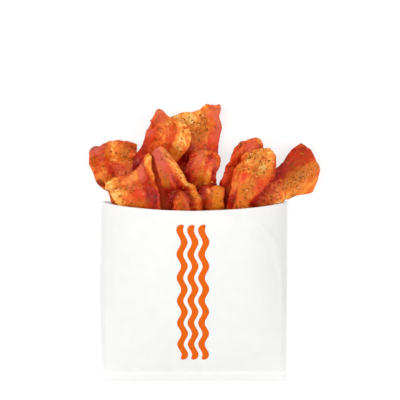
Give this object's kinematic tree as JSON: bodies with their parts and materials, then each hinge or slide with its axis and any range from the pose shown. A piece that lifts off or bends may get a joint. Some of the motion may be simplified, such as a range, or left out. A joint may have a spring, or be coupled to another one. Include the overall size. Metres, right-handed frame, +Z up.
{
  "type": "fried bacon strips in a paper sleeve",
  "caption": "Peppered, glazed fried bacon strips fanned out of the open mouth of a plain white flat paper sleeve that lies on its back.",
  "frame": {"origin": "middle of the bounding box's underside, on the surface that the sleeve lies on", "axes": "+Y from the sleeve's glued bottom towards its mouth and the strips' tips, +Z up out of the printed front panel, +X to the right of someone looking down on that panel"},
  "size_m": [0.137, 0.1748, 0.0274],
  "materials": {
    "paper": "matt bleached kraft paper",
    "bacon": "fried pork belly with a thin sugar glaze, lean and fat in streaks",
    "pepper": "coarsely cracked black pepper and dried chilli flakes",
    "print": "flat orange ink printed on paper"
  },
  "bodies": {
    "root": {"paper_sleeve": "paper", "strip_far_left": "bacon", "strip_front_left": "bacon", "strip_centre_left": "bacon", "strip_tall_centre": "bacon", "strip_centre_red": "bacon", "strip_low_amber": "bacon", "strip_centre_front": "bacon", "strip_low_lobe": "bacon", "strip_back_right": "bacon", "strip_front_right": "bacon", "strip_far_right": "bacon"}
  },
  "joints": []
}
